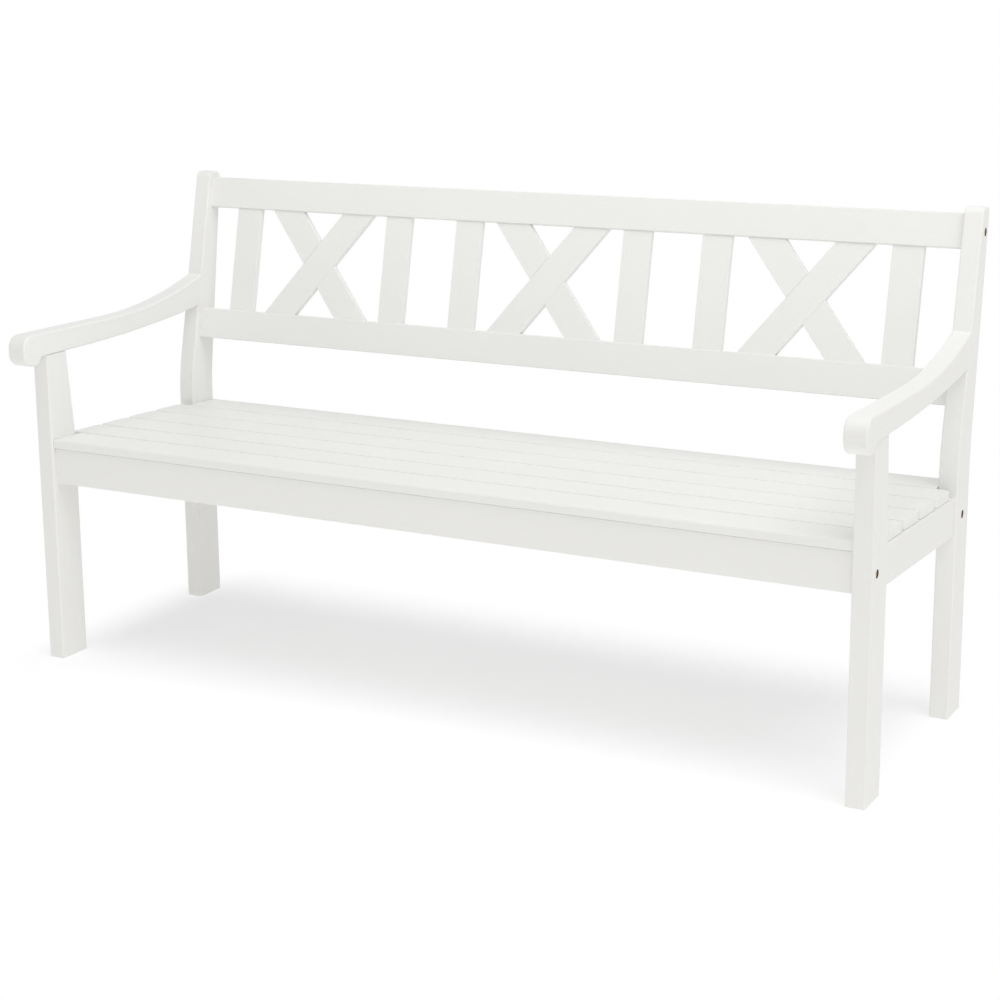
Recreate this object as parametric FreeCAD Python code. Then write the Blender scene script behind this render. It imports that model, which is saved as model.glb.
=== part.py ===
import FreeCAD
import Part
import math
import os

# Three-seat garden bench of painted timber with a crossed back, made as its separate pieces.
# Millimetres. X runs along the bench, Y from front to back and Z up. The pieces are laid out
# with Y counted from the front faces of the front legs. At the end they all move together, so
# that the origin is the bottom centre of the whole bench.

# Driving sizes: legs and posts
bench_length = 1683.0  # over the outer faces of the legs
leg_thickness = 35.0
front_leg_depth = 73.0
front_leg_top_depth = 58.0  # where the armrest sits
rear_leg_depth = 73.0
rear_leg_setback = 465.0  # front face of the front legs to front face of the rear posts
bend_height = 486.0  # where the rear posts start to lean back
bend_radius = 400.0
back_rake = 12.3  # degrees
post_height = 914.0
post_top_depth = 37.0
post_top_round = 12.0
taper_radius = 200.0
foot_chamfer = 2.0
leg_round = 3.0

# Driving sizes: seat
seat_front_height = 447.0  # top of the seat above the front faces of the legs
seat_slope = 2.1  # degrees, down towards the back
seat_slat_count = 6
seat_slat_gap = 4.5
seat_slat_thickness = 18.0
seat_slat_round = 2.0
seat_nose_round = 5.0  # front edges of the first slat
seat_end_round = 10.0  # corners of the slats that reach over the side rails
seat_front_setback = 5.0
seat_slat_end_inset = 8.0  # from the outer faces of the legs
front_slat_end_gap = 0.3  # beside the front legs
rear_slat_end_gap = 0.8  # beside the rear posts

# Driving sizes: seat frame
seat_rail_thickness = 24.0
seat_rail_height = 70.0
front_rail_recess = 9.0
side_rail_recess = 5.0
rail_round = 2.0
side_tenon_thickness = 10.0
side_tenon_height = 42.0
side_tenon_length = 20.0
bearer_width = 40.0
bearer_height = 28.0
bearer_spacing = 538.0
bearer_stub_width = 20.0
bearer_stub_height = 16.0
bearer_stub_length = 10.0
end_bearer_width = 28.0
end_bearer_gap = 2.0  # to the leg and to the post

# Driving sizes: back
back_rail_recess = 13.0  # behind the front faces of the posts
back_rail_thickness = 20.0
back_rail_height = 63.0
lower_rail_rise = 89.0  # along the rake, from the bend to the rail's lower edge
top_rail_drop = 8.5  # from the top of the posts to the top rail
back_slat_width = 58.0
back_slat_thickness = 13.0
back_slat_round = 1.0
back_end_gap = 69.0  # between a post and the first slat
back_pair_gap = 104.0  # between two slats that stand next to each other
brace_gap = 31.0  # between a slat and the corner of a cross
cross_count = 3
housing_depth = 10.0

# Driving sizes: armrests
arm_nose_width = 40.0  # at the tip of the nose
arm_rear_width = 34.5  # at the post
arm_thickness = 41.0
arm_seat_height = 614.0  # underside of the armrest, on the front leg
arm_top_rise = 47.0
arm_under_rise = 22.0
arm_top_share = 0.64  # of the way from leg to post, where the top starts to rise
arm_round = 4.0
nose_reach = 65.0  # in front of the leg
nose_crown = 5.0
nose_drop = 15.0
nose_flat = 10.0  # at the tip of the nose, between its two curves
nose_neck = 16.0  # from the hollow behind the nose to the leg
nose_neck_run = 7.0
nose_neck_round = 9.0
sweep_share = 0.88  # of the shorter run beside a long curve

# Driving sizes: fasteners
bolt_diameter = 8.0
bolt_length = 70.0
head_diameter = 13.0
head_height = 8.0
head_chamfer = 0.5
socket_sides = 6
socket_flats = 6.0
socket_depth = 4.0
washer_diameter = 14.2
washer_thickness = 1.6
counterbore_diameter = 15.0
counterbore_depth = 11.6
nut_diameter = 12.0
nut_length = 14.0
nut_inset = 35.0  # from the end of the rail
nut_slot_width = 1.6
nut_slot_depth = 1.5
dowel_diameter = 8.0
dowel_length = 36.0
dowel_chamfer = 1.0
dowel_offset = 22.0  # from the bolt
lower_dowel_offset = 16.0  # from the middle of the lower back rail
arm_dowel_diameter = 10.0
arm_dowel_length = 50.0
arm_dowel_spacing = 24.0
arm_dowel_rise = 15.0  # lowest pin above the underside of the armrest, at the post
screw_diameter = 4.0
screw_head_diameter = 8.0
screw_tip = 4.0
slat_screw_length = 40.0
bearer_screw_length = 42.0

# Driving sizes: clearances
joint_clearance = 0.2  # round a tenon or a housed end
lap_clearance = 0.05  # beside a brace that crosses another
hole_clearance = 0.2  # round a bolt, a screw or a nut
thread_clearance = 0.05
dowel_clearance = 0.05
depth_clearance = 0.5  # at the bottom of a blind hole
touch = 1e-6  # lengths below this count as nothing

# Sizes that follow
half_length = bench_length / 2
inner_face = half_length - leg_thickness
slope = math.radians(seat_slope)
rake = math.radians(back_rake)
post_back = rear_leg_setback + rear_leg_depth
seat_pitch = (post_back - seat_front_setback + seat_slat_gap) / seat_slat_count
seat_slat_width = seat_pitch - seat_slat_gap
front_rail_mid = front_rail_recess + seat_rail_thickness / 2
rear_rail_mid = rear_leg_setback + rear_leg_depth / 2
side_rail_outer = half_length - side_rail_recess
side_rail_inner = side_rail_outer - seat_rail_thickness
back_rail_mid = back_rail_recess + back_rail_thickness / 2
lower_rail_top = lower_rail_rise + back_rail_height
top_rail_low = (post_height - top_rail_drop - bend_height) / math.cos(rake) - back_rail_height
back_opening = top_rail_low - lower_rail_top
slat_total = 2 * cross_count
bay_width = (
    2 * inner_face - 2 * back_end_gap - slat_total * back_slat_width - (cross_count - 1) * back_pair_gap
) / cross_count
seat_place = FreeCAD.Placement(
    FreeCAD.Vector(0, 0, seat_front_height), FreeCAD.Rotation(FreeCAD.Vector(1, 0, 0), -seat_slope)
)
back_place = FreeCAD.Placement(
    FreeCAD.Vector(0, rear_leg_setback, bend_height), FreeCAD.Rotation(FreeCAD.Vector(1, 0, 0), -back_rake)
)
level_place = FreeCAD.Placement()
along_x = FreeCAD.Vector(1, 0, 0)
along_y = FreeCAD.Vector(0, 1, 0)
along_z = FreeCAD.Vector(0, 0, 1)
nodes = {}


# Shapes that the pieces are made from
def seat_z(y, depth):
    """Height of the level that lies depth below the top of the seat, square to it."""
    return seat_front_height - depth / math.cos(slope) - y * math.tan(slope)


def post_front(z):
    """Place of the front face of a rear post above its bend."""
    return rear_leg_setback + (z - bend_height) * math.tan(rake)


def block(x, y, z):
    """Box between the two values of each pair."""
    corner = FreeCAD.Vector(x[0], y[0], z[0])
    return Part.makeBox(x[1] - x[0], y[1] - y[0], z[1] - z[0], corner)


def rod(start, direction, diameter, length):
    return Part.makeCylinder(diameter / 2, length, start, direction)


def at(shape, place):
    """Copy of a shape moved from its own frame to the bench."""
    moved = shape.copy()
    moved.Placement = place.multiply(moved.Placement)
    return moved


def mirrored(shape):
    return shape.mirror(FreeCAD.Vector(0, 0, 0), along_x)


def both_ends(shape):
    return [shape, mirrored(shape)]


def largest_radius(before, corner, after, share):
    """Radius that uses up a share of the shorter run at a corner."""
    first = FreeCAD.Vector(0, *before) - FreeCAD.Vector(0, *corner)
    second = FreeCAD.Vector(0, *after) - FreeCAD.Vector(0, *corner)
    half_turn = (math.pi - first.getAngle(second)) / 2
    return share * min(first.Length, second.Length) / math.tan(half_turn)


def outline(corners):
    """Closed face in the YZ plane with corners (y, z, radius), each radius a tangent arc."""
    points = [FreeCAD.Vector(0, y, z) for y, z, radius in corners]
    runs = []
    arcs = []
    for i, (y, z, radius) in enumerate(corners):
        to_last = (points[i - 1] - points[i]).normalize()
        to_next = (points[(i + 1) % len(points)] - points[i]).normalize()
        if radius == 0:
            runs.append((points[i], points[i]))
            arcs.append(None)
            continue
        half = to_last.getAngle(to_next) / 2
        reach = radius / math.tan(half)
        middle = (to_last + to_next).normalize()
        nearest = points[i] + middle * (radius / math.sin(half) - radius)
        runs.append((points[i] + to_last * reach, points[i] + to_next * reach))
        arcs.append(nearest)
    edges = []
    for i, (start, end) in enumerate(runs):
        if arcs[i] is not None:
            edges.append(Part.Arc(start, arcs[i], end).toShape())
        following = runs[(i + 1) % len(runs)][0]
        if (following - end).Length > touch:
            edges.append(Part.LineSegment(end, following).toShape())
    return Part.Face(Part.Wire(edges))


def side_board(corners, x0, x1):
    """Board whose side view has these corners, from x0 to x1."""
    face = outline(corners)
    face.translate(FreeCAD.Vector(x0, 0, 0))
    return face.extrude(FreeCAD.Vector(x1 - x0, 0, 0))


def seat_strip(y0, y1, top, bottom):
    """Corners of a strip that follows the seat, between two depths below its top."""
    return [
        (y0, seat_z(y0, bottom), 0),
        (y1, seat_z(y1, bottom), 0),
        (y1, seat_z(y1, top), 0),
        (y0, seat_z(y0, top), 0),
    ]


def lies_across_x(edge):
    return edge.BoundBox.XLength < touch


def runs_along_x(edge):
    return edge.BoundBox.YLength < touch and edge.BoundBox.ZLength < touch


def is_level(edge):
    return edge.BoundBox.ZLength < touch


def rounded(shape, radius, wanted):
    return shape.makeFillet(radius, [edge for edge in shape.Edges if wanted(edge)])


def rounded_along(shape, radius, direction):
    """Rounds the straight edges that run along a direction."""

    def wanted(edge):
        run = edge.Vertexes[-1].Point - edge.Vertexes[0].Point
        return run.Length > touch and run.cross(direction).Length < touch * run.Length

    return rounded(shape, radius, wanted)


def stands_on_floor(edge):
    return edge.BoundBox.ZMax < touch


def chamfered_foot(shape):
    return shape.makeChamfer(foot_chamfer, [edge for edge in shape.Edges if stands_on_floor(edge)])


def cut_all(shape, cutters):
    return shape.cut(Part.makeCompound(cutters)) if cutters else shape


# Fasteners, each made once along its own axis
def bolt_shape():
    """Socket-head bolt along -X, with the underside of its head at x = 0."""
    head = rod(FreeCAD.Vector(), along_x, head_diameter, head_height)
    rim = [edge for edge in head.Edges if edge.BoundBox.XMin > head_height - touch]
    head = head.makeChamfer(head_chamfer, rim)
    shank = rod(FreeCAD.Vector(), -along_x, bolt_diameter, bolt_length)
    reach = socket_flats / 2 / math.cos(math.pi / socket_sides)
    start = FreeCAD.Vector(head_height - socket_depth, 0, 0)
    corners = []
    for i in range(socket_sides + 1):
        turn = 2 * math.pi * i / socket_sides
        corners.append(start + FreeCAD.Vector(0, reach * math.cos(turn), reach * math.sin(turn)))
    socket = Part.Face(Part.makePolygon(corners)).extrude(FreeCAD.Vector(socket_depth, 0, 0))
    return head.fuse(shank).cut(socket).removeSplitter()


def washer_shape():
    """Washer along -X from x = 0."""
    disc = rod(FreeCAD.Vector(), -along_x, washer_diameter, washer_thickness)
    return disc.cut(rod(FreeCAD.Vector(), -along_x, bolt_diameter + 2 * hole_clearance, washer_thickness))


def nut_shape():
    """Barrel nut along Y about the origin, with its screwdriver slot at the far end."""
    barrel = rod(FreeCAD.Vector(0, -nut_length / 2, 0), along_y, nut_diameter, nut_length)
    start = FreeCAD.Vector(-nut_diameter, 0, 0)
    barrel = barrel.cut(rod(start, along_x, bolt_diameter + 2 * thread_clearance, 2 * nut_diameter))
    slot_y = (nut_length / 2 - nut_slot_depth, nut_length / 2)
    slot_z = (-nut_slot_width / 2, nut_slot_width / 2)
    return barrel.cut(block((-nut_diameter, nut_diameter), slot_y, slot_z))


def dowel_shape(middle, direction, diameter, length):
    """Dowel pin about its middle, with small chamfers at both ends."""
    pin = rod(middle - direction * (length / 2), direction, diameter, length)
    ends = [edge for edge in pin.Edges if isinstance(edge.Curve, Part.Circle)]
    return pin.makeChamfer(dowel_chamfer, ends)


def dowel_hole(middle, direction, diameter, length):
    wide = diameter + 2 * dowel_clearance
    long = length + 2 * depth_clearance
    return rod(middle - direction * (long / 2), direction, wide, long)


def screw_shape(start, direction, length, grow):
    """Countersunk screw from the outside of its head, or its hole where grow is over zero."""
    head_r = screw_head_diameter / 2 + grow
    shank_r = screw_diameter / 2 + grow
    sink = head_r - shank_r
    head = Part.makeCone(head_r, shank_r, sink, start, direction)
    shank = rod(start, direction, 2 * shank_r, length - screw_tip)
    tip = Part.makeCone(shank_r, grow, screw_tip, start + direction * (length - screw_tip), direction)
    return head.fuse([shank, tip]).removeSplitter()


def bolted_end(place, y, z, open_side, thickness):
    """Bolt, washer, nut, dowels and holes that fix one end of a rail to the right leg or post.

    place is the frame of the rail, (y, z) its middle in that frame, and open_side is 1 or -1 for
    the face that the barrel nut goes in from.
    """
    seat = half_length - counterbore_depth
    head_under = seat + washer_thickness
    nut_x = inner_face - nut_inset
    axis_at = FreeCAD.Vector(0, y, z)
    facing = FreeCAD.Rotation(along_z, 0 if open_side > 0 else 180)
    turn = FreeCAD.Placement(axis_at + along_x * nut_x, facing)
    wide = bolt_diameter + 2 * hole_clearance
    tip_x = head_under - bolt_length - depth_clearance
    leg_hole = rod(axis_at + along_x * inner_face, along_x, wide, leg_thickness)
    sink = rod(axis_at + along_x * seat, along_x, counterbore_diameter, counterbore_depth)
    rail_hole = rod(axis_at + along_x * tip_x, along_x, wide, inner_face - tip_x)
    pocket_length = nut_length / 2 + thickness / 2
    pocket_start = axis_at + along_x * nut_x - along_y * (open_side * nut_length / 2)
    pocket = rod(pocket_start, along_y * open_side, nut_diameter + 2 * hole_clearance, pocket_length)
    pins = []
    pin_holes = []
    for step in (-dowel_offset, dowel_offset):
        middle = axis_at + along_x * inner_face + along_z * step
        pins.append(at(dowel_shape(middle, along_x, dowel_diameter, dowel_length), place))
        pin_holes.append(at(dowel_hole(middle, along_x, dowel_diameter, dowel_length), place))
    bolt = bolt_shape()
    bolt.translate(axis_at + along_x * head_under)
    washer = washer_shape()
    washer.translate(axis_at + along_x * head_under)
    return {
        "bolt": at(bolt, place),
        "washer": at(washer, place),
        "nut": at(at(nut_shape(), turn), place),
        "dowels": pins,
        "leg_cuts": [at(leg_hole, place), at(sink, place)] + pin_holes,
        "rail_cuts": [at(rail_hole, place), at(pocket, place)] + pin_holes,
    }


# Middle heights of the rails and their fastened ends
front_rail_low = seat_z(front_rail_mid, seat_slat_thickness) - seat_rail_height
rear_rail_low = seat_z(rear_rail_mid, seat_slat_thickness) - seat_rail_height
front_bolt_z = front_rail_low + seat_rail_height / 2
rear_bolt_z = rear_rail_low + seat_rail_height / 2
top_bolt_z = top_rail_low + back_rail_height / 2
front_end = bolted_end(level_place, front_rail_mid, front_bolt_z, 1, seat_rail_thickness)
rear_end = bolted_end(level_place, rear_rail_mid, rear_bolt_z, -1, seat_rail_thickness)
top_end = bolted_end(back_place, back_rail_mid, top_bolt_z, 1, back_rail_thickness)
bolted_ends = [front_end, rear_end, top_end]

# Dowels at the ends of the lower back rail and under and behind the armrests
lower_pins = []
lower_pin_holes = []
for step in (-lower_dowel_offset, lower_dowel_offset):
    pin_middle = FreeCAD.Vector(inner_face, back_rail_mid, lower_rail_rise + back_rail_height / 2 + step)
    lower_pins.append(at(dowel_shape(pin_middle, along_x, dowel_diameter, dowel_length), back_place))
    lower_pin_holes.append(at(dowel_hole(pin_middle, along_x, dowel_diameter, dowel_length), back_place))

leg_middle_x = half_length - leg_thickness / 2
arm_top = arm_seat_height + arm_thickness
arm_rear_top = arm_top + arm_top_rise
arm_rear_low = arm_seat_height + arm_under_rise
arm_pin_middle = (arm_rear_low - bend_height) / math.cos(rake) + arm_dowel_rise + arm_dowel_spacing / 2
arm_pins = []
arm_pin_holes = []
for step in (-arm_dowel_spacing / 2, arm_dowel_spacing / 2):
    leg_spot = FreeCAD.Vector(leg_middle_x, front_leg_top_depth / 2 + step, arm_seat_height)
    arm_pins.append(dowel_shape(leg_spot, along_z, arm_dowel_diameter, arm_dowel_length))
    arm_pin_holes.append(dowel_hole(leg_spot, along_z, arm_dowel_diameter, arm_dowel_length))
    post_spot = FreeCAD.Vector(leg_middle_x, 0, arm_pin_middle + step)
    post_pin = dowel_shape(post_spot, along_y, arm_dowel_diameter, arm_dowel_length)
    post_hole = dowel_hole(post_spot, along_y, arm_dowel_diameter, arm_dowel_length)
    arm_pins.append(at(post_pin, back_place))
    arm_pin_holes.append(at(post_hole, back_place))


# Side rails, with a tenon at each end
def side_tenon(grow, extra):
    """Tenons of the right side rail as one long bar, grown to make the mortises."""
    bar_top = seat_slat_thickness + (seat_rail_height - side_tenon_height) / 2 - grow
    bar_low = bar_top + side_tenon_height + 2 * grow
    reach = side_tenon_length + extra
    corners = seat_strip(front_leg_depth - reach, rear_leg_setback + reach, bar_top, bar_low)
    middle = (side_rail_outer + side_rail_inner) / 2
    half = side_tenon_thickness / 2 + grow
    return side_board(corners, middle - half, middle + half)


side_mortise = side_tenon(joint_clearance, depth_clearance)
side_corners = seat_strip(
    front_leg_depth, rear_leg_setback, seat_slat_thickness, seat_slat_thickness + seat_rail_height
)
side_body = side_board(side_corners, side_rail_inner, side_rail_outer)
side_body = rounded_along(side_body, rail_round, FreeCAD.Vector(0, math.cos(slope), -math.sin(slope)))
right_side_rail = side_body.fuse(side_tenon(0, 0)).removeSplitter()

# Front legs
taper_start = seat_z(front_leg_depth, 0)
front_leg_corners = [
    (0, 0, 0),
    (front_leg_depth, 0, 0),
    (front_leg_depth, taper_start, taper_radius),
    (front_leg_top_depth, arm_seat_height, 0),
    (0, arm_seat_height, 0),
]
right_front_leg = side_board(front_leg_corners, inner_face, half_length)
right_front_leg = rounded(right_front_leg, leg_round, lambda e: lies_across_x(e) and not is_level(e))
right_front_leg = chamfered_foot(right_front_leg)
right_front_leg = cut_all(right_front_leg, front_end["leg_cuts"] + arm_pin_holes + [side_mortise])

# Rear posts
post_top_front = post_front(post_height)
post_corners = [
    (rear_leg_setback, 0, 0),
    (post_back, 0, 0),
    (post_back, bend_height, bend_radius),
    (post_top_front + post_top_depth, post_height, post_top_round),
    (post_top_front, post_height, post_top_round),
    (rear_leg_setback, bend_height, bend_radius),
]


def rims_a_side(edge):
    return lies_across_x(edge) and not stands_on_floor(edge)


right_rear_post = side_board(post_corners, inner_face, half_length)
right_rear_post = rounded(right_rear_post, leg_round, rims_a_side)
right_rear_post = chamfered_foot(right_rear_post)
post_cuts = rear_end["leg_cuts"] + top_end["leg_cuts"] + lower_pin_holes + arm_pin_holes + [side_mortise]
right_rear_post = cut_all(right_rear_post, post_cuts)

# Armrests
nose_top = arm_top + nose_crown
nose_low = arm_seat_height - nose_drop
nose_radius = (nose_top - nose_low - nose_flat) / 2
rear_top_y = post_front(arm_rear_top)
rear_low_y = post_front(arm_rear_low)
top_bend_y = front_leg_depth + arm_top_share * (rear_top_y - front_leg_depth)
under_bend_y = (rear_low_y + front_leg_depth) / 2
top_bend_radius = largest_radius(
    (-nose_reach, nose_top), (top_bend_y, arm_top), (rear_top_y, arm_rear_top), sweep_share
)
under_bend_radius = largest_radius(
    (rear_low_y, arm_rear_low), (under_bend_y, arm_seat_height), (-nose_neck, arm_seat_height), sweep_share
)
arm_corners = [
    (-nose_reach, nose_top, nose_radius),
    (-nose_reach, nose_low, nose_radius),
    (-nose_neck - nose_neck_run, nose_low, nose_neck_round),
    (-nose_neck, arm_seat_height, nose_neck_round),
    (under_bend_y, arm_seat_height, under_bend_radius),
    (rear_low_y, arm_rear_low, 0),
    (rear_top_y, arm_rear_top, 0),
    (top_bend_y, arm_top, top_bend_radius),
]
# The outer face loses a wedge, so that the armrest narrows from its nose to the post.
arm_outer = inner_face + arm_nose_width
taper_corners = [
    FreeCAD.Vector(arm_outer, -nose_reach, 0),
    FreeCAD.Vector(arm_outer, rear_top_y, 0),
    FreeCAD.Vector(inner_face + arm_rear_width, rear_top_y, 0),
]
taper_face = Part.Face(Part.makePolygon(taper_corners + taper_corners[:1]))
arm_taper = taper_face.extrude(FreeCAD.Vector(0, 0, post_height))
right_armrest = side_board(arm_corners, inner_face, arm_outer).cut(arm_taper)


def rims_the_arm(edge):
    """Whether an edge of the armrest's inner or outer face lies off its joint with the post."""
    spots = [back_place.inverse().multVec(vertex.Point) for vertex in edge.Vertexes]
    return not runs_along_x(edge) and min(spot.y for spot in spots) < -touch


right_armrest = rounded(right_armrest, arm_round, rims_the_arm)
right_armrest = cut_all(right_armrest, arm_pin_holes)

# Bearers that carry the seat slats
bearer_top = seat_slat_thickness
bearer_low = seat_slat_thickness + bearer_height
front_rail_back = front_rail_recess + seat_rail_thickness
rear_rail_front = rear_rail_mid - seat_rail_thickness / 2


def bearer_stubs(x, grow, extra):
    """Stub tenons of a bearer as one long bar, grown to make the mortises."""
    stub_top = bearer_top + (bearer_height - bearer_stub_height) / 2 - grow
    stub_low = stub_top + bearer_stub_height + 2 * grow
    reach = bearer_stub_length + extra
    corners = seat_strip(front_rail_back - reach, rear_rail_front + reach, stub_top, stub_low)
    half = bearer_stub_width / 2 + grow
    return side_board(corners, x - half, x + half)


middle_spots = {"left": -bearer_spacing / 2, "right": bearer_spacing / 2}
bearer_mortises = [bearer_stubs(x, joint_clearance, depth_clearance) for x in middle_spots.values()]
bearer_corners = seat_strip(front_rail_back, rear_rail_front, bearer_top, bearer_low)
end_bearer_front = front_leg_depth + end_bearer_gap
end_bearer_back = rear_leg_setback - end_bearer_gap
end_corners = seat_strip(end_bearer_front, end_bearer_back, bearer_top, bearer_low)
end_bearer_x = side_rail_inner - end_bearer_width / 2
middle_bearers = {}
for name, x in middle_spots.items():
    plank = side_board(bearer_corners, x - bearer_width / 2, x + bearer_width / 2)
    middle_bearers[name] = plank.fuse(bearer_stubs(x, 0, 0)).removeSplitter()
end_bearers = {"right": side_board(end_corners, side_rail_inner - end_bearer_width, side_rail_inner)}
end_bearers["left"] = mirrored(end_bearers["right"])


# Seat slats and the screws that hold them from below
def rounded_slat(plank, has_free_ends, front_round):
    """Slat with its edges rounded. Free ends have round corners, ends in the frame stay square."""
    if has_free_ends:
        return rounded(rounded_along(plank, seat_end_round, along_z), seat_slat_round, is_level)
    middle = plank.BoundBox.Center.y

    def is_front(edge):
        return edge.BoundBox.XLength > touch and edge.BoundBox.YMax < middle

    def is_back(edge):
        return edge.BoundBox.XLength > touch and edge.BoundBox.YMin > middle

    return rounded(rounded(plank, front_round, is_front), seat_slat_round, is_back)


seat_slats = []
free_slat_fronts = []
slat_screws = []
slat_screw_holes = []
for i in range(seat_slat_count):
    y0 = seat_front_setback + i * seat_pitch
    y1 = y0 + seat_slat_width
    beside_legs = y0 < front_leg_depth + front_slat_end_gap
    beside_posts = y1 > rear_leg_setback - rear_slat_end_gap
    reach = half_length - seat_slat_end_inset
    if beside_legs:
        reach = inner_face - front_slat_end_gap
    if beside_posts:
        reach = inner_face - rear_slat_end_gap
    plank = block((-reach, reach), (y0, y1), (-seat_slat_thickness, 0))
    has_free_ends = not beside_legs and not beside_posts
    seat_slats.append(rounded_slat(plank, has_free_ends, seat_nose_round if i == 0 else seat_slat_round))
    screw_spots = list(middle_spots.values())
    if has_free_ends:
        free_slat_fronts.append(y0)
        screw_spots += [-end_bearer_x, end_bearer_x]
    over_bearer = (max(y0, front_rail_back) + min(y1, rear_rail_front)) / 2
    for x in screw_spots:
        head_at = FreeCAD.Vector(x, over_bearer, -bearer_low)
        slat_screws.append(screw_shape(head_at, along_z, slat_screw_length, 0))
        slat_screw_holes.append(screw_shape(head_at, along_z, slat_screw_length, hole_clearance))

# Screws from the end bearers into the side rails, in line with the gaps between the long slats
bearer_screws = []
bearer_screw_holes = []
for slat_front_y in free_slat_fronts[1:]:
    gap_y = slat_front_y - seat_slat_gap / 2
    head_at = FreeCAD.Vector(side_rail_inner - end_bearer_width, gap_y, -(bearer_top + bearer_low) / 2)
    bearer_screws += both_ends(at(screw_shape(head_at, along_x, bearer_screw_length, 0), seat_place))
    hole = screw_shape(head_at, along_x, bearer_screw_length, hole_clearance)
    bearer_screw_holes += both_ends(at(hole, seat_place))

slat_holes_placed = [at(hole, seat_place) for hole in slat_screw_holes]


# Front and rear seat rails
def seat_rail(mid, low, end):
    """Rail along the bench whose top follows the seat."""
    y0 = mid - seat_rail_thickness / 2
    y1 = mid + seat_rail_thickness / 2
    top0 = seat_z(y0, seat_slat_thickness)
    top1 = seat_z(y1, seat_slat_thickness)
    corners = [(y0, low, 0), (y1, low, 0), (y1, top1, 0), (y0, top0, 0)]
    plank = rounded_along(side_board(corners, -inner_face, inner_face), rail_round, along_x)
    cutters = []
    for cutter in end["rail_cuts"]:
        cutters += both_ends(cutter)
    return cut_all(plank, cutters + bearer_mortises)


front_seat_rail = seat_rail(front_rail_mid, front_rail_low, front_end)
rear_seat_rail = seat_rail(rear_rail_mid, rear_rail_low, rear_end)

# Back panel, laid out flat in the raked frame of the back
slat_front = back_rail_mid - back_slat_thickness / 2
slat_back = back_rail_mid + back_slat_thickness / 2
slat_lefts = []
cross_middles = []
x = -inner_face + back_end_gap
for i in range(cross_count):
    slat_lefts.append(x)
    cross_middles.append(x + back_slat_width + bay_width / 2)
    slat_lefts.append(x + back_slat_width + bay_width)
    x += 2 * back_slat_width + bay_width + back_pair_gap

# Sideways run of a brace between the rails, so that its corners keep brace_gap from the slats
cross_width = bay_width - 2 * brace_gap
lean = back_slat_width / back_opening
brace_run = (
    cross_width - math.sqrt(cross_width**2 - (1 - lean**2) * (cross_width**2 - back_slat_width**2))
) / (1 - lean**2)
brace_angle = math.atan2(brace_run, back_opening)


def slat_bar(left, grow, extra):
    """A back slat with its housed ends, grown to make the housings."""
    reach = housing_depth + extra
    xs = (left - grow, left + back_slat_width + grow)
    ys = (slat_front - grow, slat_back + grow)
    return block(xs, ys, (lower_rail_top - reach, top_rail_low + reach))


def brace_bar(middle, hand, grow, extra, ys):
    """A brace with its housed ends, rising to the right where hand is 1, between two depths."""
    reach = back_opening / 2 + housing_depth + extra
    shift = hand * reach * math.tan(brace_angle)
    half = (back_slat_width / 2 + grow) / math.cos(brace_angle)
    centre_z = (lower_rail_top + top_rail_low) / 2
    corners = [
        FreeCAD.Vector(middle - shift - half, ys[0], centre_z - reach),
        FreeCAD.Vector(middle - shift + half, ys[0], centre_z - reach),
        FreeCAD.Vector(middle + shift + half, ys[0], centre_z + reach),
        FreeCAD.Vector(middle + shift - half, ys[0], centre_z + reach),
    ]
    face = Part.Face(Part.makePolygon(corners + corners[:1]))
    return face.extrude(FreeCAD.Vector(0, ys[1] - ys[0], 0))


def rounded_brace(middle, hand):
    bar = brace_bar(middle, hand, 0, 0, (slat_front, slat_back))
    direction = FreeCAD.Vector(hand * math.sin(brace_angle), 0, math.cos(brace_angle))
    return rounded_along(bar, back_slat_round, direction)


back_slats = [rounded_along(slat_bar(left, 0, 0), back_slat_round, along_z) for left in slat_lefts]
rising_braces = []
falling_braces = []
full_depth = (slat_front - joint_clearance, slat_back + joint_clearance)
front_half = (slat_front - joint_clearance, back_rail_mid)
back_half = (back_rail_mid, slat_back + joint_clearance)
housings = [slat_bar(left, joint_clearance, depth_clearance) for left in slat_lefts]
for middle in cross_middles:
    rising = rounded_brace(middle, 1)
    falling = rounded_brace(middle, -1)
    rising_braces.append(rising.cut(brace_bar(middle, -1, lap_clearance, 0, back_half)))
    falling_braces.append(falling.cut(brace_bar(middle, 1, lap_clearance, 0, front_half)))
    for hand in (1, -1):
        housings.append(brace_bar(middle, hand, joint_clearance, depth_clearance, full_depth))


def back_rail(low):
    """One rail of the back, flat in the raked frame, with its housings cut."""
    ys = (back_rail_recess, back_rail_recess + back_rail_thickness)
    plank = block((-inner_face, inner_face), ys, (low, low + back_rail_height))
    plank = rounded_along(plank, rail_round, along_x)
    return at(cut_all(plank, housings), back_place)


top_cuts = []
for cutter in top_end["rail_cuts"]:
    top_cuts += both_ends(cutter)
lower_cuts = []
for cutter in lower_pin_holes:
    lower_cuts += both_ends(cutter)
back_top_rail = cut_all(back_rail(top_rail_low), top_cuts)
back_lower_rail = cut_all(back_rail(lower_rail_rise), lower_cuts)

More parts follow.
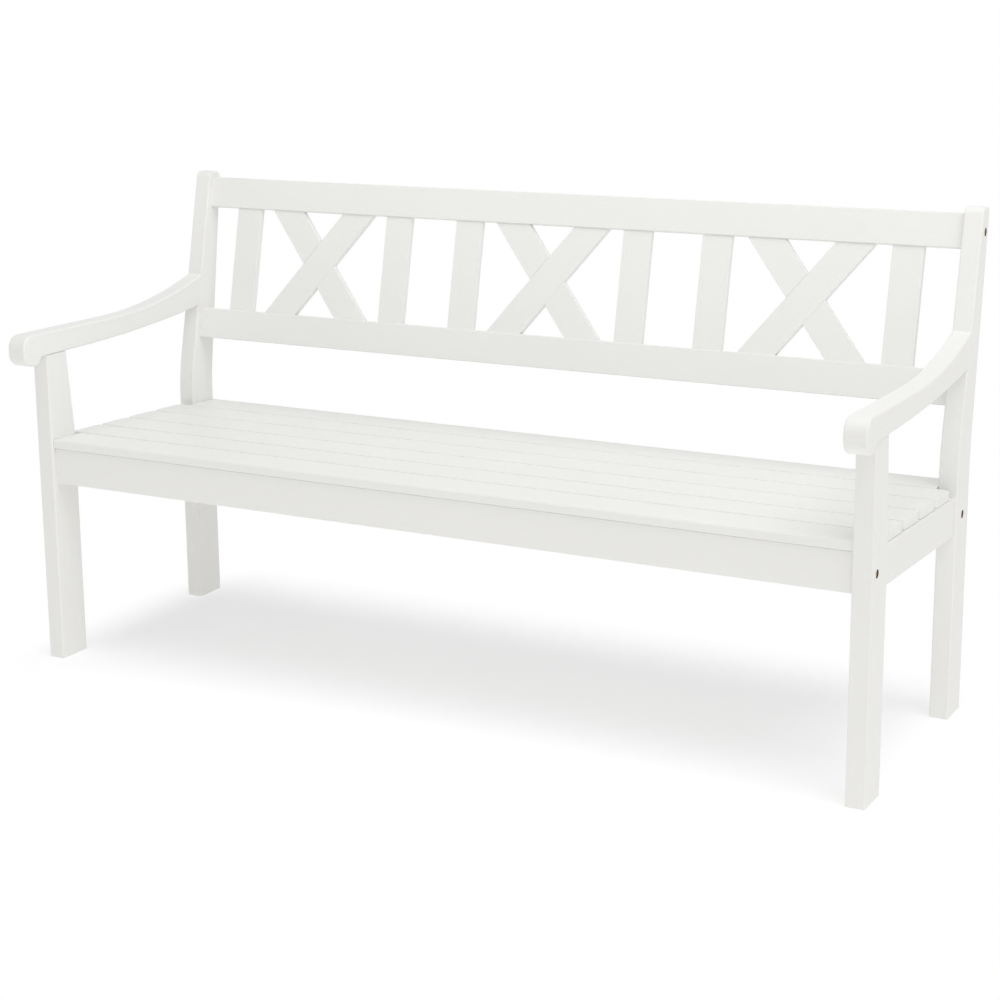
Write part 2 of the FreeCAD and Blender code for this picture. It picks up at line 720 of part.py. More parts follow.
# Every piece under its name
right_side_rail = cut_all(right_side_rail, bearer_screw_holes)
ends = {
    "front_leg": right_front_leg,
    "rear_post": right_rear_post,
    "armrest": right_armrest,
    "side_rail": right_side_rail,
}
for name, shape in ends.items():
    nodes["right_" + name] = shape
    nodes["left_" + name] = mirrored(shape)
for side in ("left", "right"):
    nodes[side + "_seat_bearer"] = cut_all(middle_bearers[side], slat_holes_placed)
    nodes[side + "_end_bearer"] = cut_all(end_bearers[side], slat_holes_placed + bearer_screw_holes)
nodes["front_seat_rail"] = front_seat_rail
nodes["rear_seat_rail"] = rear_seat_rail
for i, shape in enumerate(seat_slats):
    nodes["seat_slat_" + str(i + 1)] = at(cut_all(shape, slat_screw_holes), seat_place)
nodes["back_top_rail"] = back_top_rail
nodes["back_lower_rail"] = back_lower_rail
for i, shape in enumerate(back_slats):
    nodes["back_slat_" + str(i + 1)] = at(shape, back_place)
for i in range(cross_count):
    nodes["rising_brace_" + str(i + 1)] = at(rising_braces[i], back_place)
    nodes["falling_brace_" + str(i + 1)] = at(falling_braces[i], back_place)

groups = {"rail_bolts": [], "rail_washers": [], "barrel_nuts": [], "rail_dowels": [], "armrest_dowels": []}
for end in bolted_ends:
    groups["rail_bolts"] += both_ends(end["bolt"])
    groups["rail_washers"] += both_ends(end["washer"])
    groups["barrel_nuts"] += both_ends(end["nut"])
    for pin in end["dowels"]:
        groups["rail_dowels"] += both_ends(pin)
for pin in lower_pins:
    groups["rail_dowels"] += both_ends(pin)
for pin in arm_pins:
    groups["armrest_dowels"] += both_ends(pin)
groups["slat_screws"] = [at(screw, seat_place) for screw in slat_screws]
groups["bearer_screws"] = bearer_screws
for name, shapes in groups.items():
    nodes[name] = Part.makeCompound(shapes)

# The origin is the bottom centre of the whole bench
whole = FreeCAD.BoundBox()
for shape in nodes.values():
    whole.add(shape.optimalBoundingBox(False, False))
to_origin = FreeCAD.Vector(0, -(whole.YMin + whole.YMax) / 2, 0)
os.makedirs("parts", exist_ok=True)
for name, shape in nodes.items():
    placed = shape.copy()
    placed.translate(to_origin)
    placed.exportStep("parts/" + name + ".step")
print(len(nodes), "pieces;", whole, "moved by", to_origin)
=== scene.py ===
import math

import bpy
from mathutils import Matrix, Vector


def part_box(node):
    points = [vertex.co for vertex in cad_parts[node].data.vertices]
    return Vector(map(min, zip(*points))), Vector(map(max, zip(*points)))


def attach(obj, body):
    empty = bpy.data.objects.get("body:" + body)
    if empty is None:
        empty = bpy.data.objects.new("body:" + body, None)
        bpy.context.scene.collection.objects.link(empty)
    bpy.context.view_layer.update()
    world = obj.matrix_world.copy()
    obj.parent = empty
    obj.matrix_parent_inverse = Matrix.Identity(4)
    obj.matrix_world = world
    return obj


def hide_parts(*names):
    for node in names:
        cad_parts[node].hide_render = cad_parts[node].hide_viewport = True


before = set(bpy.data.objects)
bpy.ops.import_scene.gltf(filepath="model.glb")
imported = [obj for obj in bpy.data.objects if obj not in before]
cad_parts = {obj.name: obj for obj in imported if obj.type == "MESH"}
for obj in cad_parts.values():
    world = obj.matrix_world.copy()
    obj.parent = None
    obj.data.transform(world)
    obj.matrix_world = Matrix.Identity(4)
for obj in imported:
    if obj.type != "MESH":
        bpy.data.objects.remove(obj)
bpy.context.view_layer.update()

# White-painted garden bench with a slatted seat and a crossed back. Metres, in the frame of the
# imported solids: X along the bench, Y from front to back, Z up, origin on the floor.

# Board sizes that the boxes of the nodes don't give
SEAT_BOARD_THICKNESS = 0.018
SEAT_BOARD_ROUND = 0.002
SEAT_NOSE_ROUND = 0.005  # front edges of the first board
SEAT_END_ROUND = 0.010  # corners of the free ends, seen from above
SQUARE_END_ROUND = 0.0003  # ends between the legs and between the posts
BACK_SLAT_THICKNESS = 0.013
BACK_SLAT_ROUND = 0.001
BACK_RAKE = math.radians(12.3)
BOLT_HOLE_RADIUS = 0.0075
PAINT_SKIN = 0.0004  # how far the paint reaches into a drilled hole

# Names of the pieces that repeat
SEAT_BOARDS = ["seat_slat_" + str(i + 1) for i in range(6)]
BACK_SLATS = ["back_slat_" + str(i + 1) for i in range(6)]
STEEL_PIECES = ("rail_bolts", "rail_washers", "barrel_nuts", "slat_screws", "bearer_screws")
WOOD_PINS = ("rail_dowels", "armrest_dowels")

# White paint: a slightly uneven coat with brush marks along the board and the grain showing through
PAINT_LIGHT = (0.862, 0.862, 0.842, 1.0)
PAINT_SHADE = (0.838, 0.837, 0.815, 1.0)
PAINT_IOR = 1.46
PAINT_ROUGHNESS = (0.42, 0.56)
PAINT_RELIEF = {"Strength": 0.30, "Distance": 0.0003}
BRISTLES = (6.0, 420.0, 420.0)  # changes in a metre, along and across the board
STROKES = {"Scale": 1.0, "Detail": 3.0, "Roughness": 0.6}
STROKE_RANGE = (0.3, 0.7)
TRUNK_STRETCH = (0.10, 1.0, 1.0)
TRUNK_HEART = (0.0, 0.045, 0.03)  # how far the boards lie from the middle of the rings
RINGS = {"Scale": 58.0, "Distortion": 3.0, "Detail": 2.0, "Detail_Scale": 0.35}
CLOUDS = {"Scale": 3.1, "Detail": 2.0, "Roughness": 0.5}
STROKE_TONE, CLOUD_TONE, RING_TONE = 0.35, 0.5, 0.10
TONE_RANGE = (0.25, 0.70)
STROKE_HEIGHT, RING_HEIGHT = 0.55, 0.45

# Bare wood in the bolt holes darkened into painted shade, and the finishes of the fasteners
BARE_WOOD_AND_PAINTED_SHADE = (0.07, 0.05, 0.03, 1.0)
ZINC_DULL = (0.70, 0.56, 0.27, 1.0)
ZINC_BRIGHT = (0.88, 0.78, 0.50, 1.0)
ZINC_CLOUDS = {"Scale": 260.0, "Detail": 3.0}
ZINC_ROUGHNESS = (0.32, 0.52)
BEECH_DARK = (0.42, 0.25, 0.12, 1.0)
BEECH_PALE = (0.62, 0.43, 0.24, 1.0)
BEECH_FLECKS = {"Scale": 420.0, "Detail": 3.0}
BEECH_ROUGHNESS = 0.7

# Boards that are grown: points on each rounded corner, and the stretch of grain that each board takes
CORNER_STEPS = 4
GRAIN_SHIFT = (0.6, 0.04, 0.04)
SEAT_SEED = 4
BACK_SEED = 9

# Floor: matt, pale and faintly lit from within, so that it brightens the undersides like a studio table.
# The camera sees the bench's shadow between its legs; round that patch the floor fades to white.
FLOOR_SIZE = 60
FLOOR_BOUNCE = (0.93, 0.92, 0.905, 1.0)
FLOOR_SEEN = (0.943, 0.945, 0.964, 1.0)
FLOOR_GLOW = 0.267  # light that the floor gives to the bench
FLOOR_LIFT = 0.19  # light that only the camera sees
SHADOW_FRONT, SHADOW_BACK = -0.45, 0.17
SHADOW_LEFT, SHADOW_RIGHT = -0.76, 0.74
FADE_SIDE, FADE_FRONT = 0.18, 0.30

# Light of the even pale room, and white as the camera sees it
ROOM_LIGHT = 0.57
PURE_WHITE = 1.0

# Camera at the photograph's viewing angle, placed from the middle of the bench at the legs' front
CAMERA_FROM_LEG = Vector((1.8204, -3.0922, 1.3575))
CAMERA_AZIMUTH = math.radians(29.581)
CAMERA_RISE = math.radians(13.042)
CAMERA_ROLL = math.radians(-0.785)
CAMERA_SENSOR = 36.0
CAMERA_LENS = 75.734
CAMERA_SHIFT_X, CAMERA_SHIFT_Y = 0.0582, -0.0588
CAMERA_REACH = 100.0


def centre(node):
    low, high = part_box(node)
    return (low + high) / 2


def extent(node):
    low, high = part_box(node)
    return high - low


def new_object(name, data):
    made = bpy.data.objects.new(name, data)
    bpy.context.scene.collection.objects.link(made)
    return made


# Node trees
class Tree:
    """Short ways to add and join the nodes of one tree."""

    def __init__(self, tree):
        self.tree = tree
        self.inside = None
        self.outside = None

    @classmethod
    def new_group(cls, name, kind, inputs, outputs):
        """Group with its named inputs and outputs, given as name and socket kind."""
        made = cls(bpy.data.node_groups.new(name, kind))
        for way, sockets in (("INPUT", inputs), ("OUTPUT", outputs)):
            for socket_name, socket_kind in sockets.items():
                made.tree.interface.new_socket(
                    socket_name, in_out=way, socket_type="NodeSocket" + socket_kind
                )
        made.inside = made.tree.nodes.new("NodeGroupInput").outputs
        made.outside = made.tree.nodes.new("NodeGroupOutput").inputs
        return made

    def add(self, kind, settings=None, **inputs):
        node = self.tree.nodes.new(kind)
        for key, value in (settings or {}).items():
            setattr(node, key, value)
        for key, value in inputs.items():
            self.put(node, key.replace("_", " "), value)
        return node

    def put(self, node, key, value):
        target = node.inputs[key] if isinstance(key, int) else self.find(node.inputs, key)
        self.feed(target, value)

    def feed(self, target, value):
        if isinstance(value, bpy.types.NodeSocket):
            self.tree.links.new(value, target)
        else:
            target.default_value = value

    @staticmethod
    def find(sockets, key):
        for socket in sockets:
            if socket.enabled and socket.name == key:
                return socket
        raise KeyError(key)

    def calculate(self, kind, operation, values):
        node = self.add(kind, {"operation": operation})
        for i, value in enumerate(values):
            self.put(node, i, value)
        return node

    def maths(self, operation, *values):
        return self.calculate("ShaderNodeMath", operation, values).outputs[0]

    def vector(self, operation, *values):
        return self.calculate("ShaderNodeVectorMath", operation, values).outputs[0]

    def length(self, value):
        return self.calculate("ShaderNodeVectorMath", "LENGTH", [value]).outputs["Value"]

    def join_xyz(self, **parts):
        return self.add("ShaderNodeCombineXYZ", **parts).outputs[0]

    def blend(self, factor, first, second):
        """Colour between two others."""
        node = self.add("ShaderNodeMix", {"data_type": "RGBA"})
        self.put(node, "Factor", factor)
        self.put(node, "A", first)
        self.put(node, "B", second)
        return self.find(node.outputs, "Result")

    def spread(self, value, low, high, to_low=0.0, to_high=1.0):
        """Value of one range brought onto another."""
        node = self.add("ShaderNodeMapRange", Value=value, From_Min=low, From_Max=high)
        self.put(node, "To Min", to_low)
        self.put(node, "To Max", to_high)
        return node.outputs[0]


# Effects that several finishes share
def brush_mark_group():
    t = Tree.new_group(
        "brush marks over grain",
        "ShaderNodeTree",
        {"Along": "Vector", "Light": "Color", "Shade": "Color"},
        {"Color": "Color", "Roughness": "Float", "Height": "Float"},
    )
    along = t.inside["Along"]
    bristles = t.vector("MULTIPLY", along, BRISTLES)
    stroke = t.add("ShaderNodeTexNoise", Vector=bristles, **STROKES).outputs["Fac"]
    trunk = t.vector("MULTIPLY_ADD", along, TRUNK_STRETCH, TRUNK_HEART)
    round_x = {"wave_type": "RINGS", "rings_direction": "X"}
    ring = t.add("ShaderNodeTexWave", round_x, Vector=trunk, **RINGS).outputs["Fac"]
    cloud = t.add("ShaderNodeTexNoise", Vector=along, **CLOUDS).outputs["Fac"]
    tone = t.maths("MULTIPLY_ADD", stroke, STROKE_TONE, t.maths("MULTIPLY", cloud, CLOUD_TONE))
    tone = t.maths("MULTIPLY_ADD", ring, RING_TONE, tone)
    lightness = t.spread(tone, *TONE_RANGE)
    t.feed(t.outside["Color"], t.blend(lightness, t.inside["Shade"], t.inside["Light"]))
    t.feed(t.outside["Roughness"], t.spread(stroke, *STROKE_RANGE, *PAINT_ROUGHNESS))
    ridges = t.maths("MULTIPLY", ring, RING_HEIGHT)
    t.feed(t.outside["Height"], t.maths("MULTIPLY_ADD", stroke, STROKE_HEIGHT, ridges))
    return t.tree


def drilled_hole_group():
    """Mask of the wall of a hole drilled along X, inside the painted outer face."""
    t = Tree.new_group(
        "drilled hole",
        "ShaderNodeTree",
        {"Position": "Vector", "Axis": "Vector", "Radius": "Float", "Face": "Float"},
        {"Mask": "Float"},
    )
    offset = t.vector("SUBTRACT", t.inside["Position"], t.inside["Axis"])
    away = t.length(t.vector("MULTIPLY", offset, (0.0, 1.0, 1.0)))
    within = t.maths("LESS_THAN", away, t.inside["Radius"])
    place = t.add("ShaderNodeSeparateXYZ", Vector=t.inside["Position"])
    below = t.maths("LESS_THAN", t.maths("ABSOLUTE", place.outputs["X"]), t.inside["Face"])
    t.feed(t.outside["Mask"], t.maths("MULTIPLY", within, below))
    return t.tree


BRUSH_MARKS = brush_mark_group()
DRILLED_HOLE = drilled_hole_group()


# Finishes
def new_material(name):
    material = bpy.data.materials.new(name)
    material.use_nodes = True
    return material, Tree(material.node_tree), material.node_tree.nodes["Principled BSDF"]


def painted(name, turn, hole_axes=()):
    """White paint brushed along a board; turn brings the board's length onto X."""
    material, t, shader = new_material(name)
    place = t.add("ShaderNodeTexCoord").outputs["Object"]
    own_shift = t.add("ShaderNodeAttribute", {"attribute_name": "board_shift"}).outputs["Vector"]
    along = t.add("ShaderNodeMapping", Vector=t.vector("ADD", place, own_shift), Rotation=turn)
    marks = t.add("ShaderNodeGroup", {"node_tree": BRUSH_MARKS}, Along=along.outputs[0])
    t.put(marks, "Light", PAINT_LIGHT)
    t.put(marks, "Shade", PAINT_SHADE)
    colour = marks.outputs["Color"]
    for axis in hole_axes:
        hole = t.add("ShaderNodeGroup", {"node_tree": DRILLED_HOLE}, Position=place, Axis=axis)
        t.put(hole, "Radius", BOLT_HOLE_RADIUS + PAINT_SKIN)
        t.put(hole, "Face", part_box("right_front_leg")[1].x - PAINT_SKIN)
        # Hole walls: bare wood made much darker as painted shade, standing for the shade deep in the hole
        colour = t.blend(hole.outputs["Mask"], colour, BARE_WOOD_AND_PAINTED_SHADE)
    bump = t.add("ShaderNodeBump", Height=marks.outputs["Height"], **PAINT_RELIEF)
    t.put(shader, "Base Color", colour)
    t.put(shader, "Roughness", marks.outputs["Roughness"])
    t.put(shader, "Normal", bump.outputs[0])
    shader.inputs["IOR"].default_value = PAINT_IOR
    return material


def yellow_zinc():
    material, t, shader = new_material("yellow_zinc")
    place = t.add("ShaderNodeTexCoord").outputs["Object"]
    cloud = t.add("ShaderNodeTexNoise", Vector=place, **ZINC_CLOUDS).outputs["Fac"]
    t.put(shader, "Base Color", t.blend(cloud, ZINC_DULL, ZINC_BRIGHT))
    t.put(shader, "Roughness", t.spread(cloud, 0.0, 1.0, *ZINC_ROUGHNESS))
    shader.inputs["Metallic"].default_value = 1.0
    return material


def bare_beech():
    material, t, shader = new_material("bare_beech")
    place = t.add("ShaderNodeTexCoord").outputs["Object"]
    fleck = t.add("ShaderNodeTexNoise", Vector=place, **BEECH_FLECKS).outputs["Fac"]
    t.put(shader, "Base Color", t.blend(fleck, BEECH_DARK, BEECH_PALE))
    shader.inputs["Roughness"].default_value = BEECH_ROUGHNESS
    return material


# Places of the bolt holes, from the middles of the rails that the bolts hold
front_bolt = centre("front_seat_rail")
rear_bolt = centre("rear_seat_rail")
top_bolt = centre("back_top_rail")
quarter = math.pi / 2
brace_size = extent("rising_brace_1")
brace_lean = math.atan2(brace_size.x - extent("back_slat_1").x, brace_size.z / math.cos(BACK_RAKE))
PAINT_ALONG = painted("paint_along_the_bench", (0, 0, 0))
PAINT_UP = painted("paint_up_the_back", (0, quarter, 0))
PAINT_LEG = painted("paint_up_the_legs", (0, quarter, 0), [front_bolt])
PAINT_POST = painted("paint_up_the_posts", (0, quarter, 0), [rear_bolt, top_bolt])
PAINT_DEEP = painted("paint_front_to_back", (0, 0, quarter))
PAINT_RISING = painted("paint_on_rising_braces", (0, quarter - brace_lean, 0))
PAINT_FALLING = painted("paint_on_falling_braces", (0, quarter + brace_lean, 0))
ZINC = yellow_zinc()
BEECH = bare_beech()
FINISHES = {
    "front_leg": PAINT_LEG,
    "rear_post": PAINT_POST,
    "back_slat": PAINT_UP,
    "armrest": PAINT_DEEP,
    "side_rail": PAINT_DEEP,
    "bearer": PAINT_DEEP,
    "rising": PAINT_RISING,
    "falling": PAINT_FALLING,
}


def finish_for(name):
    if name in STEEL_PIECES:
        return ZINC
    if name in WOOD_PINS:
        return BEECH
    for word, finish in FINISHES.items():
        if word in name:
            return finish
    return PAINT_ALONG


for name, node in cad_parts.items():
    node.data.materials.clear()
    node.data.materials.append(finish_for(name))


# Boards: a small ball whose eight corners are pulled apart until it has the size of the board.
# The ends have their own rounding, and corners seen from above can be wider than the edges.
ROUNDINGS = dict.fromkeys(("Rounding", "Nose Rounding", "End Rounding", "Corner Widening"), "Float")
PLACING = {"Place": "Vector", "Tilt": "Float", "Paint": "Material", "Seed": "Int"}


def rounded_board_group():
    t = Tree.new_group(
        "rounded board", "GeometryNodeTree", {"Half Size": "Vector"} | ROUNDINGS, {"Board": "Geometry"}
    )
    rows = 2 * CORNER_STEPS
    cube = t.add("GeometryNodeMeshCube", Size=(1, 1, 1), Vertices_X=rows, Vertices_Y=rows, Vertices_Z=rows)
    place = t.add("GeometryNodeInputPosition").outputs[0]
    corner = t.vector("SIGN", place)
    inmost = 0.5 / (rows - 1)
    lean = t.vector("SUBTRACT", t.vector("ABSOLUTE", place), (inmost, inmost, inmost))
    lean = t.vector("NORMALIZE", t.vector("MAXIMUM", lean, (0, 0, 0)))
    depth = t.add("ShaderNodeSeparateXYZ", Vector=place).outputs["Y"]
    in_front = t.add("FunctionNodeCompare", {"operation": "LESS_THAN"}, A=depth, B=0.0)
    choice = t.add("GeometryNodeSwitch", {"input_type": "FLOAT"}, Switch=in_front.outputs[0])
    t.put(choice, "False", t.inside["Rounding"])
    t.put(choice, "True", t.inside["Nose Rounding"])
    radius = choice.outputs[0]
    radii = t.join_xyz(X=t.inside["End Rounding"], Y=radius, Z=radius)
    wide = t.join_xyz(X=t.inside["Corner Widening"], Y=t.inside["Corner Widening"])
    outward = t.vector("NORMALIZE", t.vector("MULTIPLY", lean, (1, 1, 0)))
    flat = t.vector("SUBTRACT", t.inside["Half Size"], t.vector("ADD", radii, wide))
    flat = t.vector("MULTIPLY_ADD", outward, wide, flat)
    moved = t.vector("MULTIPLY", corner, t.vector("MULTIPLY_ADD", lean, radii, flat))
    shaped = t.add("GeometryNodeSetPosition", Geometry=cube.outputs["Mesh"], Position=moved)
    smooth = t.add("GeometryNodeSetShadeSmooth", Geometry=shaped.outputs[0])
    t.feed(t.outside["Board"], smooth.outputs[0])
    return t.tree


ROUNDED_BOARD = rounded_board_group()


def board(t, half_size, *roundings):
    """Rounded board, with its roundings in the order of ROUNDINGS."""
    node = t.add("GeometryNodeGroup", {"node_tree": ROUNDED_BOARD})
    t.put(node, "Half Size", half_size)
    for name, value in zip(ROUNDINGS, roundings):
        t.put(node, name, value)
    return node.outputs["Board"]


def row_of(t, count, start, step, shape):
    line = t.add("GeometryNodeMeshLine", {"mode": "OFFSET"}, Count=count, Start_Location=start, Offset=step)
    return t.add("GeometryNodeInstanceOnPoints", Points=line.outputs[0], Instance=shape).outputs[0]


def place_and_paint(t, shapes):
    """Tilts the boards into place, gives each its own stretch of grain and paints them."""
    joined = t.add("GeometryNodeJoinGeometry")
    for shape in shapes:
        t.put(joined, 0, shape)
    placed = t.add("GeometryNodeTransform", Geometry=joined.outputs[0], Translation=t.inside["Place"])
    t.put(placed, "Rotation", t.join_xyz(X=t.inside["Tilt"]))
    real = t.add("GeometryNodeRealizeInstances", Geometry=placed.outputs[0])
    island = t.add("GeometryNodeInputMeshIsland")
    shift = t.add("FunctionNodeRandomValue", {"data_type": "FLOAT_VECTOR"}, Seed=t.inside["Seed"])
    t.put(shift, "Max", GRAIN_SHIFT)
    t.put(shift, "ID", island.outputs["Island Index"])
    kept = t.add("GeometryNodeStoreNamedAttribute", {"data_type": "FLOAT_VECTOR"}, Geometry=real.outputs[0])
    t.put(kept, "Name", "board_shift")
    t.put(kept, "Value", Tree.find(shift.outputs, "Value"))
    paint = t.add("GeometryNodeSetMaterial", Geometry=kept.outputs[0], Material=t.inside["Paint"])
    t.feed(t.outside["Boards"], paint.outputs[0])


def seat_board_tree():
    sizes = {"Count": "Int", "Pitch": "Float"} | ROUNDINGS
    sizes |= dict.fromkeys(("Front Half Size", "Middle Half Size", "Rear Half Size"), "Vector")
    t = Tree.new_group("seat boards", "GeometryNodeTree", sizes | PLACING, {"Boards": "Geometry"})
    edge, nose, end, widening = (t.inside[name] for name in ROUNDINGS)
    front = board(t, t.inside["Front Half Size"], edge, nose, end, 0.0)
    middle = board(t, t.inside["Middle Half Size"], edge, edge, edge, widening)
    rear = board(t, t.inside["Rear Half Size"], edge, edge, end, 0.0)
    step = t.join_xyz(Y=t.inside["Pitch"])
    middles = row_of(t, t.maths("SUBTRACT", t.inside["Count"], 2.0), step, step, middle)
    to_rear = t.maths("MULTIPLY", t.maths("SUBTRACT", t.inside["Count"], 1.0), t.inside["Pitch"])
    last = t.add("GeometryNodeTransform", Geometry=rear, Translation=t.join_xyz(Y=to_rear)).outputs[0]
    place_and_paint(t, [front, middles, last])
    return t.tree


def back_slat_tree():
    sizes = {"Pairs": "Int", "Pair Step": "Float", "Bay Step": "Float"}
    sizes |= {"Half Size": "Vector", "Rounding": "Float"}
    t = Tree.new_group("back slats", "GeometryNodeTree", sizes | PLACING, {"Boards": "Geometry"})
    edge = t.inside["Rounding"]
    slat = board(t, t.inside["Half Size"], edge, edge, edge, 0.0)
    step = t.join_xyz(X=t.inside["Pair Step"])
    lefts = row_of(t, t.inside["Pairs"], (0, 0, 0), step, slat)
    rights = row_of(t, t.inside["Pairs"], t.join_xyz(X=t.inside["Bay Step"]), step, slat)
    place_and_paint(t, [lefts, rights])
    return t.tree


def grow(name, tree, values):
    """Plain mesh that a tree makes from its named values."""
    piece = new_object(name, bpy.data.meshes.new(name))
    maker = piece.modifiers.new("maker", "NODES")
    maker.node_group = tree
    for item in tree.interface.items_tree:
        if item.in_out == "INPUT":
            maker[item.identifier] = values[item.name]
    piece.modifiers.new("flat_faces", "WEIGHTED_NORMAL")
    scene_now = bpy.context.evaluated_depsgraph_get()
    grown = piece.evaluated_get(scene_now)
    mesh = bpy.data.meshes.new_from_object(grown, preserve_all_data_layers=True, depsgraph=scene_now)
    piece.modifiers.clear()
    piece.data = mesh
    mesh.name = name
    return piece


# Seat boards: the first and last end beside the legs and posts, the others reach over the side rails
seat_step = (centre(SEAT_BOARDS[-2]) - centre(SEAT_BOARDS[1])) / (len(SEAT_BOARDS) - 3)
seat_tilt = math.atan2(seat_step.z, seat_step.y)
flat_run = SEAT_BOARD_THICKNESS - 2 * SEAT_BOARD_ROUND
seat_run = extent(SEAT_BOARDS[1]).y - 2 * SEAT_BOARD_ROUND - flat_run * math.sin(-seat_tilt)
seat_board_width = seat_run / math.cos(seat_tilt) + 2 * SEAT_BOARD_ROUND


def seat_half_size(node):
    return (extent(node).x / 2, seat_board_width / 2, SEAT_BOARD_THICKNESS / 2)


seat = grow("seat_boards", seat_board_tree(), {
    "Count": len(SEAT_BOARDS),
    "Pitch": seat_step.length,
    "Rounding": SEAT_BOARD_ROUND,
    "Nose Rounding": SEAT_NOSE_ROUND,
    "End Rounding": SQUARE_END_ROUND,
    "Corner Widening": SEAT_END_ROUND - SEAT_BOARD_ROUND,
    "Front Half Size": seat_half_size(SEAT_BOARDS[0]),
    "Middle Half Size": seat_half_size(SEAT_BOARDS[1]),
    "Rear Half Size": seat_half_size(SEAT_BOARDS[-1]),
    "Place": centre(SEAT_BOARDS[1]) - seat_step,
    "Tilt": seat_tilt,
    "Paint": PAINT_ALONG,
    "Seed": SEAT_SEED,
})
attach(seat, "root")
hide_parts(*SEAT_BOARDS)

# Upright slats of the back, in pairs on both sides of each cross
slat_size = extent(BACK_SLATS[0])
slat_length = (slat_size.z - BACK_SLAT_THICKNESS * math.sin(BACK_RAKE)) / math.cos(BACK_RAKE)
slats = grow("back_slats", back_slat_tree(), {
    "Pairs": len(BACK_SLATS) // 2,
    "Pair Step": centre(BACK_SLATS[2]).x - centre(BACK_SLATS[0]).x,
    "Bay Step": centre(BACK_SLATS[1]).x - centre(BACK_SLATS[0]).x,
    "Half Size": (slat_size.x / 2, BACK_SLAT_THICKNESS / 2, slat_length / 2),
    "Rounding": BACK_SLAT_ROUND,
    "Place": centre(BACK_SLATS[0]),
    "Tilt": -BACK_RAKE,
    "Paint": PAINT_UP,
    "Seed": BACK_SEED,
})
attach(slats, "root")
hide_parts(*BACK_SLATS)


# Floor
def seen_rays(t):
    """Whether a ray comes from the camera, or from it by way of a reflection."""
    rays = t.add("ShaderNodeLightPath").outputs
    mirrored = t.maths("MAXIMUM", rays["Is Glossy Ray"], rays["Is Transmission Ray"])
    return t.maths("MAXIMUM", rays["Is Camera Ray"], mirrored)


def lit_matt(t, colour, glow):
    matt = t.add("ShaderNodeBsdfDiffuse", Color=colour)
    light = t.add("ShaderNodeEmission", Strength=glow)
    both = t.add("ShaderNodeAddShader")
    t.put(both, 0, matt.outputs[0])
    t.put(both, 1, light.outputs[0])
    return both.outputs[0]


def mixed(t, factor, first, second):
    node = t.add("ShaderNodeMixShader")
    for i, value in enumerate((factor, first, second)):
        t.put(node, i, value)
    return node.outputs[0]


def fade_round_shadow(t):
    """Rises from 0 on the patch that keeps the shadow to 1 where the floor is white."""
    middle = ((SHADOW_LEFT + SHADOW_RIGHT) / 2, (SHADOW_FRONT + SHADOW_BACK) / 2, 0)
    half = ((SHADOW_RIGHT - SHADOW_LEFT) / 2, (SHADOW_BACK - SHADOW_FRONT) / 2, 0)
    place = t.vector("SUBTRACT", t.add("ShaderNodeTexCoord").outputs["Object"], middle)
    beyond = t.vector("MAXIMUM", t.vector("SUBTRACT", t.vector("ABSOLUTE", place), half), (0, 0, 0))
    reach = t.length(t.vector("DIVIDE", beyond, (FADE_SIDE, FADE_FRONT, 1)))
    return t.add("ShaderNodeMapRange", {"interpolation_type": "SMOOTHSTEP"}, Value=reach).outputs[0]


def pale_floor():
    material, t, shader = new_material("pale_floor")
    t.tree.nodes.remove(shader)
    white = t.add("ShaderNodeEmission", Strength=PURE_WHITE).outputs[0]
    shown = mixed(t, fade_round_shadow(t), lit_matt(t, FLOOR_SEEN, FLOOR_LIFT), white)
    surface = mixed(t, seen_rays(t), lit_matt(t, FLOOR_BOUNCE, FLOOR_GLOW), shown)
    t.feed(t.tree.nodes["Material Output"].inputs["Surface"], surface)
    return material


bpy.ops.mesh.primitive_plane_add(size=FLOOR_SIZE)
floor = bpy.context.object
floor.name = "studio_floor"
floor.data.materials.append(pale_floor())


# Light: an even pale room with wide soft lamps
def pale_room():
    world = bpy.data.worlds.new("studio")
    world.use_nodes = True
    t = Tree(world.node_tree)
    backdrop = t.tree.nodes["Background"]
    t.put(backdrop, "Color", (1, 1, 1, 1))
    t.put(backdrop, "Strength", t.spread(seen_rays(t), 0.0, 1.0, ROOM_LIGHT, PURE_WHITE))
    return world


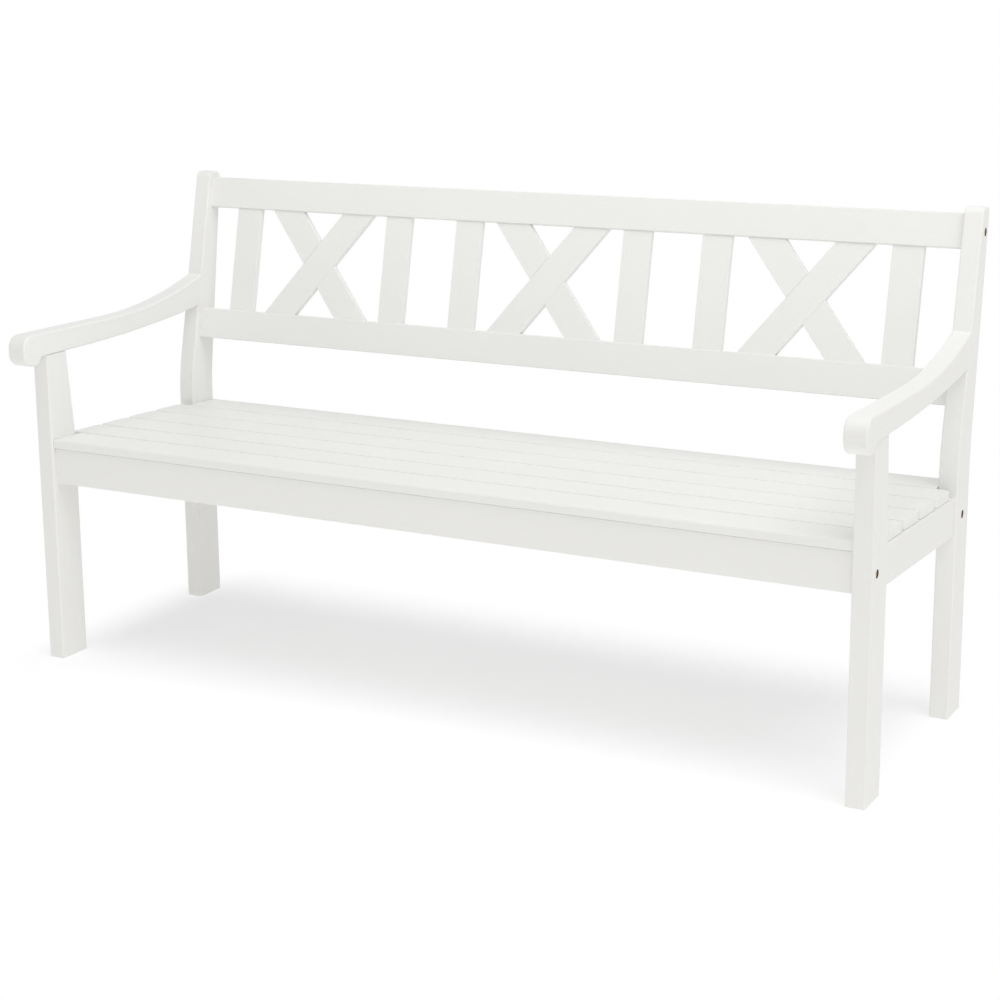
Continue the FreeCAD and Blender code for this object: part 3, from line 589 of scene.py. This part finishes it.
def soft_lamp(name, azimuth, elevation, strength, spread):
    """Wide lamp far away; azimuth 0 is in front of the bench and 90 on its right."""
    lamp = bpy.data.lights.new(name, "SUN")
    lamp.energy = strength
    lamp.angle = math.radians(spread)
    turn, rise = math.radians(azimuth), math.radians(elevation)
    towards = Vector((math.sin(turn) * math.cos(rise), -math.cos(turn) * math.cos(rise), math.sin(rise)))
    new_object(name, lamp).rotation_euler = towards.to_track_quat("Z", "Y").to_euler()


def soft_panel(name, place, aim, size, power):
    """Square panel near the bench."""
    lamp = bpy.data.lights.new(name, "AREA")
    lamp.size = size
    lamp.energy = power
    body = new_object(name, lamp)
    body.location = place
    body.rotation_euler = (Vector(place) - Vector(aim)).to_track_quat("Z", "Y").to_euler()


bpy.context.scene.world = pale_room()
soft_lamp("low_front_lamp", azimuth=40, elevation=4, strength=0.33, spread=90)
soft_panel("right_top_panel", place=(1.6, -0.6, 3.2), aim=(0.6, 0, 0.4), size=2.5, power=37)
soft_panel("left_top_panel", place=(-0.4, -0.6, 2.4), aim=(-0.4, 0.1, 0.5), size=1.4, power=6)


# Camera
def camera_turn():
    """Turn of the camera from its azimuth, its rise above level and its roll."""
    across = Vector((math.cos(CAMERA_AZIMUTH), math.sin(CAMERA_AZIMUTH), 0))
    ahead = Vector((-math.sin(CAMERA_AZIMUTH), math.cos(CAMERA_AZIMUTH), 0))
    back = Vector((0, 0, math.sin(CAMERA_RISE))) - ahead * math.cos(CAMERA_RISE)
    level_up = back.cross(across)
    right = across * math.cos(CAMERA_ROLL) + level_up * math.sin(CAMERA_ROLL)
    return Matrix((right, back.cross(right), back)).transposed().to_4x4()


camera_data = bpy.data.cameras.new("camera")
camera_data.sensor_width = CAMERA_SENSOR
camera_data.lens = CAMERA_LENS
camera_data.shift_x = CAMERA_SHIFT_X
camera_data.shift_y = CAMERA_SHIFT_Y
camera_data.clip_end = CAMERA_REACH
camera = new_object("camera", camera_data)
leg_front = Vector((0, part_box("right_front_leg")[0].y, 0))
camera.matrix_world = Matrix.Translation(leg_front + CAMERA_FROM_LEG) @ camera_turn()
bpy.context.scene.camera = camera
bpy.context.scene.view_settings.view_transform = "Standard"
